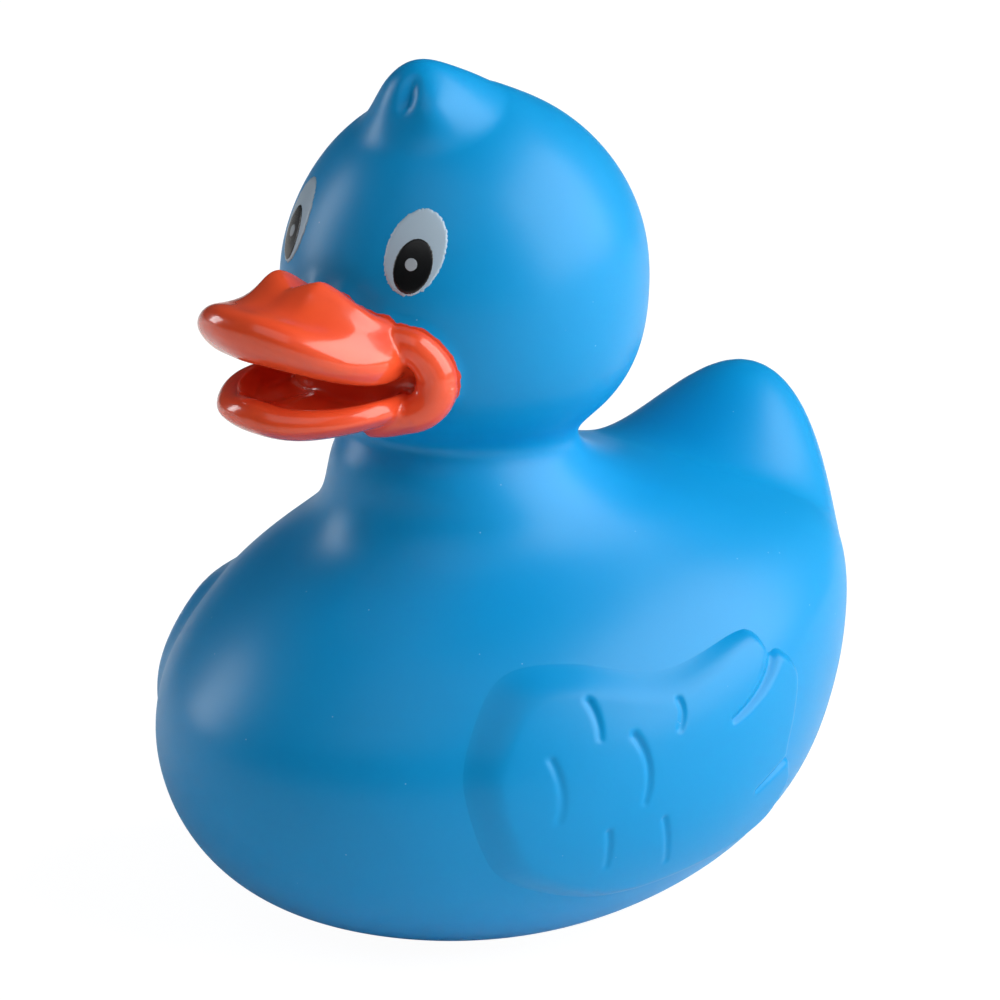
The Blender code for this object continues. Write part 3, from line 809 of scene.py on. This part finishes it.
def upper_section(turn):
    """(reach, height) controls from the root over a nostril hump, the groove and the lip's bead, round the
    lip and back to the root. The lip droops from the front to the sides, and the bead fades out there."""
    reach = plan_reach(turn)
    droop = float(ease(turn, 4, 46))
    bead = 1 - float(ease(turn, 8, 34))
    lip = blend(68.6, 65.2, droop)
    deeper = 1.0 - droop
    ridge = float(np.interp(turn, *RIDGE_HEIGHT))
    ridge_reach = float(np.interp(turn, *RIDGE_REACH))
    behind = blend(3.4, 0.8, float(ease(turn, 25, 45)))
    bead_reach = reach - 1.4
    return (
        (BILL_ROOT, ridge - 1.4 * behind),
        (8.5, ridge - behind),
        (ridge_reach - 2.4, ridge - 0.25 * behind),
        (ridge_reach, ridge + 0.3),
        (blend(ridge_reach, bead_reach, 0.24), blend(ridge, lip, 0.55)),
        (blend(ridge_reach, bead_reach, 0.56), blend(blend(ridge, lip, 0.75), lip - 0.65, bead)),
        (bead_reach, lip - 0.3 + 0.6 * bead),
        (reach - 0.1, lip - 1.1 + 0.5 * bead),
        (reach + 0.3, lip - 2.2 + 0.3 * bead),
        (reach - 0.3, lip - 3.3),
        (reach - 1.5, lip - 4.4 - 0.3 * deeper),
        (reach - 3.0, lip - 4.7 - 1.1 * deeper),
        (reach - 5.0, lip - 4.5 - 1.1 * deeper),
        (7.5, lip - 4.2),
        (BILL_ROOT, lip - 4.0),
    )


def lower_section(turn):
    """(reach, height) controls from the throat over the dish and the rolled rim, round under the spoon."""
    reach = plan_reach(turn) - LOWER_SHORTER * (1 - float(ease(turn, 18.7, 56)))
    droop = float(ease(turn, 4, 46))
    low = 59.2 - 0.4 * float(ease(turn, 0, 14)) + 0.5 * float(ease(turn, 18, 44))
    foot = blend(54.3, 55.9, droop)
    return (
        (BILL_ROOT, low - 0.8),
        (8.0, low - 0.9),
        (max(reach - 7.0, 8.4), low - 1.4),
        (max(reach - 5.0, 9.0), low - 1.5),
        (max(reach - 3.4, 9.6), low - 0.9),
        (reach - 2.4, low - 0.1),
        (reach - 1.3, low + 0.1),
        (reach - 0.2, low - 0.5),
        (reach + 0.2, low - 1.7),
        (reach - 0.1, blend(low, foot, 0.5)),
        (reach * 0.89, blend(low, foot, 0.86)),
        (reach * 0.60, foot - 0.2),
        (reach * 0.30, foot - 0.2),
        (BILL_ROOT, foot + 0.4),
    )


def lining_section(turn):
    """(reach, height) controls of the mouth's back wall, with the web over the corners."""
    wall = float(np.interp(turn, (0, 30, 50, 60), (10.4, 10.6, 10.5, 10.9)))
    web = float(np.interp(turn, (0, 36, 50, 60), (10.4, 11.4, 13.0, 13.3)))
    return (
        (BILL_ROOT, 56.6), (wall - 1.5, 56.8), (wall, 57.8), (wall - 0.3, 59.8), (wall, 61.2),
        (web - 0.3, 62.6), (web, 64.2), (web - 1.0, 65.4), (BILL_ROOT, 65.6),
    )


def closed_spline(points, steps):
    """Points of the closed B-spline of the controls."""
    points = np.asarray(points, float)
    t = (np.arange(steps) / steps)[:, None]
    return np.concatenate([
        cubic(*(points[(i + k) % len(points)] for k in (-1, 0, 1, 2)), t) for i in range(len(points))
    ])


def swept(name, section, closing=BILL_CLOSING):
    """A closed body: the section swept from one mouth corner to the other, rounded off at both ends."""
    rows = []
    for turn in np.linspace(-BILL_END, BILL_END, BILL_ROWS):
        side = abs(turn)
        loop = closed_spline(section(side), 5)
        past = max(side - (BILL_END - closing), 0) / closing
        middle = (loop[:, 1].min() + loop[:, 1].max()) / 2
        height = middle + (loop[:, 1] - middle) * math.sqrt(max(1 - past**2, 0.01))
        a = math.radians(turn)
        rows.append(np.stack([loop[:, 0] * math.sin(a), SWEEP_Y - loop[:, 0] * math.cos(a), height], -1))
    count, around = len(rows), len(rows[0])
    faces = [tuple(f) for f in grid_faces(count, around)]
    faces += [tuple(range(around)), tuple((count - 1) * around + k for k in reversed(range(around)))]
    return object_from(np.concatenate(rows), faces, name)


def cheek_rim(side):
    """The thick rim that curls round the mouth's corner and runs on under the lower bill."""
    line = np.array([
        (
            side * reach * math.sin(math.radians(turn)),
            SWEEP_Y - reach * math.cos(math.radians(turn)),
            height,
        )
        for turn, reach, height in CHEEK_PATH
    ])
    path = smooth_line(line, 6)
    at = np.linspace(0, len(CHEEK_RADII) - 1, len(path))
    return tube("cheek_rim", path, np.interp(at, range(len(CHEEK_RADII)), CHEEK_RADII))


def fused(pieces, name, voxel, smoothing):
    """One closed skin round the pieces, smoothed where they meet."""
    work = bmesh.new()
    for piece in pieces:
        outward(piece)
        work.from_mesh(piece.data)
    mesh = bpy.data.meshes.new(name)
    work.to_mesh(mesh)
    work.free()
    for piece in pieces:
        bpy.data.objects.remove(piece)
    target = linked(name, mesh)
    remesh = target.modifiers.new("skin", "REMESH")
    remesh.mode = "VOXEL"
    remesh.voxel_size = voxel * MM
    ease_off = target.modifiers.new("ease", "SMOOTH")
    ease_off.factor = 0.5
    ease_off.iterations = smoothing
    graph = bpy.context.evaluated_depsgraph_get()
    real = bpy.data.meshes.new_from_object(target.evaluated_get(graph))
    target.modifiers.clear()
    target.data = real
    real.name = name
    real.shade_smooth()
    return target


# Eyes


def eye_frame(side, skin):
    """(place on the face, outward, across, upward) of an eye."""
    out = Vector((side * EYE_LOOK[0], *EYE_LOOK[1:])).normalized()
    start = Vector((side * EYE_X, EYE_SEARCH_Y + FORM_SHIFT, EYE_CENTRE_HEIGHT)) * MM
    hit = skin.ray_cast(start, Vector((0, 1, 0)))[0]
    if hit is None:
        raise RuntimeError("no face behind the eye")
    across = out.cross(Vector((0, 0, 1))).normalized()
    upward = across.cross(out)
    lean = EYE_LEAN * side
    return (
        hit,
        out,
        across * math.cos(lean) + upward * math.sin(lean),
        upward * math.cos(lean) - across * math.sin(lean),
    )


def paint_film(skin, place, centre, width, height, lift, ragged, seed):
    """Points and faces of a film of paint on the skin: an oval with a ragged edge, thin at its rim."""
    hit, out, across, upward = place
    around, rings = FILM_AROUND, FILM_RINGS
    points = []
    for ring in range(rings + 1):
        share = min(ring / (rings - 1), 1.0)
        for k in range(around if ring else 1):
            turn = 2 * math.pi * k / around
            wander = Vector((math.cos(turn) * FILM_EDGE_WAVES, math.sin(turn) * FILM_EDGE_WAVES, seed))
            edge = 1 + 2 * ragged / width * noise.fractal(wander, 0.5, 2.2, 4)
            reach = share * edge
            flat = across * (centre[0] + reach * width / 2 * math.cos(turn)) + upward * (
                centre[1] + reach * height / 2 * math.sin(turn)
            )
            start = hit + flat + out * FILM_DROP * MM
            found, normal, _, _ = skin.ray_cast(start, -out)
            if found is None:
                raise RuntimeError("an eye's film reaches past the face")
            level = -FILM_TUCK * MM if ring == rings else lift * (1 if ring < rings - 1 else 0.5)
            points.append(tuple(found + normal * level))
    faces = [(0, 1 + k, 1 + (k + 1) % around) for k in range(around)]
    for ring in range(rings - 1):
        low = 1 + ring * around
        for k in range(around):
            j = (k + 1) % around
            faces.append((low + k, low + around + k, low + around + j, low + j))
    return points, faces


# Operators


class DUCK_OT_bill(bpy.types.Operator):
    """Builds the open bill, with its lips, cheek rims and mouth lining, in orange enamel"""

    bl_idname = "duck.bill"
    bl_label = "Bill"

    def execute(self, context):
        colours = context.scene.duck_colours
        pieces = [
            swept("upper_bill", upper_section),
            swept("lower_bill", lower_section),
            swept("lining", lining_section, closing=LINING_CLOSING),
            cheek_rim(1),
            cheek_rim(-1),
        ]
        bill = fused(pieces, "bill", BILL_VOXEL, BILL_SMOOTHING)
        bill.data.materials.append(orange_material(colours))
        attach(bill, "root")
        return {"FINISHED"}


class DUCK_OT_shell(bpy.types.Operator):
    """Builds the moulded body, neck and head, with tail, crest, base and vent, in blue vinyl"""

    bl_idname = "duck.shell"
    bl_label = "Shell"

    def execute(self, context):
        sizes, colours = context.scene.duck_sizes, context.scene.duck_colours
        bill = bpy.data.objects.get("bill")
        if bill is None:
            raise RuntimeError("the shell fits round the bill: build the bill first")
        grid = shell_grid()
        normals = grid_normals(grid)
        grid = grid + normals * crest_relief(grid)[..., None]
        relief = root_swell(grid, distances(grid, bill), sizes) - mouth_dent(grid)
        grid = grid + normals * relief[..., None]
        gaps = distances(grid, bill)
        grid[0, :, 2] = 0
        columns = grid.shape[1]
        base, vent_top = base_rows(grid[0], sizes.vent_radius / MM)
        full = np.concatenate([np.array(base), grid])
        count = len(full)
        points = np.concatenate([full.reshape(-1, 3), [grid[-1].mean(0)], [vent_top]])
        pole, vent = count * columns, count * columns + 1
        last = (count - 1) * columns
        faces = [tuple(f) for f in grid_faces(count, columns)]
        faces += [(last + j, last + (j + 1) % columns, pole) for j in range(columns)]
        faces += [(vent, (j + 1) % columns, j) for j in range(columns)]
        shell = object_from(points, faces, "shell")
        values = np.full(len(points), FAR_GAP, np.float32)
        values[len(base) * columns : count * columns] = gaps.reshape(-1)
        shell.data.attributes.new("bill_gap", "FLOAT", "POINT").data.foreach_set("value", values)
        shell.data.set_sharp_from_angle(angle=math.radians(50))
        shell.data.materials.append(vinyl_material(colours))
        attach(shell, "root")
        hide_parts("duck")
        return {"FINISHED"}


class DUCK_OT_wings(bpy.types.Operator):
    """Lays a wing on each flank: a raised pad with feather tips and strokes, in blue vinyl"""

    bl_idname = "duck.wings"
    bl_label = "Wings"

    def execute(self, context):
        sizes = context.scene.duck_sizes
        vinyl = bpy.data.materials.get("soft_vinyl")
        if vinyl is None:
            raise RuntimeError("the wings share the shell's vinyl: build the shell first")
        low, high = place_at(WING_FOOT - WING_MARGIN), place_at(WING_FOOT + WING_HEIGHT + WING_MARGIN)
        at = np.linspace(low, high, WING_ROWS)
        turns = np.radians(np.linspace(*WING_TURNS, WING_COLUMNS))
        grid = form_grid(at, turns)
        raised, gap = wing_relief(grid[..., 1:].reshape(-1, 2), sizes)
        # The edge of the patch dives a little under the shell's skin
        sunk = raised - WING_SINK - WING_DIVE * ease(-gap, WING_DIVE_FROM, WING_EDGE)
        grid = grid + grid_normals(grid, wrap=False) * sunk.reshape(grid.shape[:2])[..., None]
        keep = (gap > -WING_EDGE).reshape(grid.shape[:2])
        for side, hand in ((1, "left"), (-1, "right")):
            points = grid.reshape(-1, 3) * (side, 1, 1)
            faces = grid_faces(*grid.shape[:2], wrap=False)
            faces = faces[keep.reshape(-1)[faces].all(1)]
            used = np.unique(faces)
            place = np.zeros(len(points), int)
            place[used] = np.arange(len(used))
            faces = place[faces][:, ::side]
            wing = object_from(points[used], faces, f"{hand}_wing")
            values = np.full(len(used), FAR_GAP, np.float32)
            wing.data.attributes.new("bill_gap", "FLOAT", "POINT").data.foreach_set("value", values)
            wing.data.materials.append(vinyl)
            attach(wing, "root")
        return {"FINISHED"}


class DUCK_OT_eyes(bpy.types.Operator):
    """Paints both eyes: a white oval, a black pupil low in it, and a pale glint"""

    bl_idname = "duck.eyes"
    bl_label = "Eyes"

    def execute(self, context):
        sizes, colours = context.scene.duck_sizes, context.scene.duck_colours
        shell = bpy.data.objects.get("shell")
        if shell is None:
            raise RuntimeError("the eyes are painted on the shell: build the shell first")
        skin = tree_of(shell)
        paints = {
            "white": ("white_enamel", colours.eye_white, srgb("#A9BCCB"), 0.35, 0.9, 0.02),
            "pupil": ("black_enamel", colours.pupil, srgb("#05070A"), 0.28, 0.9, 0.03),
            "glint": ("grey_enamel", colours.glint, srgb("#8E99A2"), 0.3, 0.9, 0.02),
        }
        finishes = {part: enamel_material(*paint)[0] for part, paint in paints.items()}
        # Each film's middle and size in metres, then how far it stands off and how ragged it is, in mm
        white_size = (sizes.eye_width, sizes.eye_height)
        pupil_size = (sizes.pupil_width, sizes.pupil_height)
        glint_size = (sizes.glint_width, sizes.glint_width)
        for side, hand in ((1, "left"), (-1, "right")):
            place = eye_frame(side, skin)
            films = (
                ("white", (0, 0), *white_size, 0.05, 0.10),
                ("pupil", (-0.3 * MM * side, -1.4 * MM), *pupil_size, 0.10, 0.04),
                ("glint", (-0.1 * MM * side, -1.3 * MM), *glint_size, 0.15, 0.03),
            )
            for seed, (part, centre, width, height, lift, ragged) in enumerate(films, 3 * side):
                film = mesh_object(
                    *paint_film(skin, place, centre, width, height, lift * MM, ragged * MM, seed),
                    f"{hand}_eye_{part}",
                )
                film.data.materials.append(finishes[part])
                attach(film, "root")
        return {"FINISHED"}


def direction(azimuth, elevation):
    """The unit vector towards that azimuth and elevation. Azimuth 0 is in front of the duck, towards -Y."""
    return Vector((
        math.sin(azimuth) * math.cos(elevation),
        -math.cos(azimuth) * math.cos(elevation),
        math.sin(elevation),
    ))


def area_light(name, azimuth, elevation, distance, size, power, colour):
    """A soft panel that looks at the duck's middle. Its angles are in degrees."""
    light = bpy.data.lights.new(name, "AREA")
    light.shape = "RECTANGLE"
    light.size, light.size_y = size
    light.energy = power
    light.color = colour
    obj = linked(name, light)
    toward = direction(math.radians(azimuth), math.radians(elevation))
    obj.location = Vector((0, 0, LAMP_AIM_HEIGHT * MM)) + toward * distance
    obj.rotation_euler = toward.to_track_quat("Z", "Y").to_euler()


def studio_world():
    """Dim light, stronger from behind the duck's left side. The camera sees plain white."""
    world = bpy.data.worlds.new("studio")
    world.use_nodes = True
    tree = world.node_tree
    tree.nodes.clear()
    path = add(tree, "ShaderNodeLightPath")
    ray = add(tree, "ShaderNodeTexCoord").outputs["Generated"]
    toward = add(tree, "ShaderNodeVectorMath", {0: ray, 1: BRIGHT_SIDE}, operation="DOT_PRODUCT")
    level = remap(tree, toward.outputs["Value"], 0.0, 0.9, *WORLD_LEVELS, interpolation_type="SMOOTHSTEP")
    dim = add(tree, "ShaderNodeBackground", {"Color": (*srgb("#F2F6FA"), 1), "Strength": level})
    white = add(tree, "ShaderNodeBackground", {"Color": (1, 1, 1, 1), "Strength": 1.0})
    both = add(tree, "ShaderNodeMixShader", {
        0: path.outputs["Is Camera Ray"], 1: dim.outputs[0], 2: white.outputs[0],
    })
    add(tree, "ShaderNodeOutputWorld", {"Surface": both.outputs[0]})
    return world


class DUCK_OT_stage(bpy.types.Operator):
    """Sets the camera, the soft panels, the pale floor and the white backdrop"""

    bl_idname = "duck.stage"
    bl_label = "Stage"

    def execute(self, context):
        stage, scene = context.scene.duck_stage, context.scene
        a, e = stage.azimuth, stage.elevation
        back = direction(a, e)
        up = Vector((-math.sin(a) * math.sin(e), math.cos(a) * math.sin(e), math.cos(e)))
        right = Vector((math.cos(a), math.sin(a), 0))
        camera = linked("camera", bpy.data.cameras.new("camera"))
        camera.data.sensor_width = SENSOR_WIDTH
        camera.data.lens = SENSOR_WIDTH * stage.distance / stage.view_width
        aim = up * stage.lift + Vector((0, FORM_SHIFT * MM, 0))
        placed = Matrix((right, up, back)).transposed().to_4x4()
        placed.translation = aim + back * stage.distance
        camera.matrix_world = placed
        scene.camera = camera
        for lamp in LAMPS:
            area_light(*lamp)
        work = bmesh.new()
        bmesh.ops.create_grid(work, x_segments=1, y_segments=1, size=FLOOR_REACH)
        mesh = bpy.data.meshes.new("floor")
        work.to_mesh(mesh)
        work.free()
        floor = linked("floor", mesh)
        mesh.materials.append(backdrop_material())
        scene.world = studio_world()
        scene.view_settings.view_transform = "Standard"
        return {"FINISHED"}


class DUCK_PT_panel(bpy.types.Panel):
    bl_idname = "DUCK_PT_panel"
    bl_label = "Rubber duck"
    bl_space_type = "VIEW_3D"
    bl_region_type = "UI"
    bl_category = "Duck"

    def draw(self, context):
        for group in (context.scene.duck_sizes, context.scene.duck_colours, context.scene.duck_stage):
            box = self.layout.box()
            for name in group.__annotations__:
                box.prop(group, name)
        for operator in (DUCK_OT_stage, DUCK_OT_bill, DUCK_OT_shell, DUCK_OT_wings, DUCK_OT_eyes):
            self.layout.operator(operator.bl_idname)


CLASSES = (
    DuckSizes, DuckColours, DuckStage, DUCK_OT_stage, DUCK_OT_bill, DUCK_OT_shell, DUCK_OT_wings,
    DUCK_OT_eyes, DUCK_PT_panel,
)


def register():
    for made in CLASSES:
        bpy.utils.register_class(made)
    bpy.types.Scene.duck_sizes = PointerProperty(type=DuckSizes)
    bpy.types.Scene.duck_colours = PointerProperty(type=DuckColours)
    bpy.types.Scene.duck_stage = PointerProperty(type=DuckStage)


def unregister():
    del bpy.types.Scene.duck_sizes, bpy.types.Scene.duck_colours, bpy.types.Scene.duck_stage
    for made in reversed(CLASSES):
        bpy.utils.unregister_class(made)


def main():
    register()
    bpy.ops.duck.stage()
    bpy.ops.duck.bill()
    bpy.ops.duck.shell()
    bpy.ops.duck.wings()
    bpy.ops.duck.eyes()


if __name__ == "__main__":
    main()
